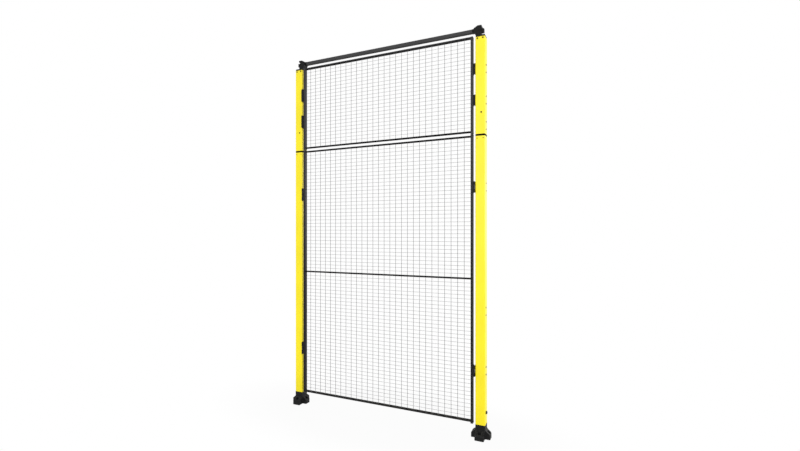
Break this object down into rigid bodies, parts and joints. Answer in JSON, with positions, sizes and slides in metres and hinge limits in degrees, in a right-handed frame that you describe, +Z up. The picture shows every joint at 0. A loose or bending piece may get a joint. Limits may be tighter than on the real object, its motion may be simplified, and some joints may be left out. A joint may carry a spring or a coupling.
{
  "type": "mesh guard door",
  "caption": "Machine guard door: a framed welded-mesh leaf hinged between square posts, under a fixed mesh transom and a top rail.",
  "frame": {"origin": "centre of the underside of the hinge post's foot", "axes": "+Z up, +X to the right as seen from the front, -Y towards the front, where the leaf opens"},
  "size_m": [1.748, 0.15, 3.007],
  "materials": {
    "post_yellow": "smooth powder coat",
    "frame_grey": "satin powder coat",
    "rail_grey": "satin powder coat",
    "wire_grey": "satin powder coat",
    "casting_black": "fine textured powder coat",
    "fitting_black": "satin black"
  },
  "bodies": {
    "frame": {"closing_post_bracket": "casting_black", "closing_post_foot": "casting_black", "closing_post_joiner": "casting_black", "closing_post_lower_tube": "post_yellow", "closing_post_upper_tube": "post_yellow", "hinge_post_bracket": "casting_black", "hinge_post_foot": "casting_black", "hinge_post_joiner": "casting_black", "hinge_post_lower_tube": "post_yellow", "hinge_post_upper_tube": "post_yellow", "lower_catch_jaws": "fitting_black", "lower_hinge_post_half": "fitting_black", "top_rail": "rail_grey", "transom_bottom_rail": "frame_grey", "transom_closing_side_clips": "fitting_black", "transom_closing_stile": "frame_grey", "transom_hinge_side_clips": "fitting_black", "transom_hinge_stile": "frame_grey", "transom_mesh_cross_wires": "wire_grey", "transom_mesh_upright_wires": "wire_grey", "transom_top_rail": "frame_grey", "upper_catch_jaws": "fitting_black", "upper_hinge_post_half": "fitting_black"},
    "leaf": {"leaf_bottom_rail": "frame_grey", "leaf_closing_stile": "frame_grey", "leaf_hinge_stile": "frame_grey", "leaf_lower_mesh_cross_wires": "wire_grey", "leaf_lower_mesh_upright_wires": "wire_grey", "leaf_middle_rail": "frame_grey", "leaf_top_rail": "frame_grey", "leaf_upper_mesh_cross_wires": "wire_grey", "leaf_upper_mesh_upright_wires": "wire_grey", "lower_catch_nose": "fitting_black", "lower_hinge_leaf_half": "fitting_black", "upper_catch_nose": "fitting_black", "upper_hinge_leaf_half": "fitting_black"}
  },
  "joints": [
    {"name": "leaf_hinge", "type": "hinge", "parent": "frame", "child": "leaf", "pos_m": [-0.044, -0.041, 0.489], "axis": [0, 0, 1], "range_deg": [0, 170]}
  ]
}
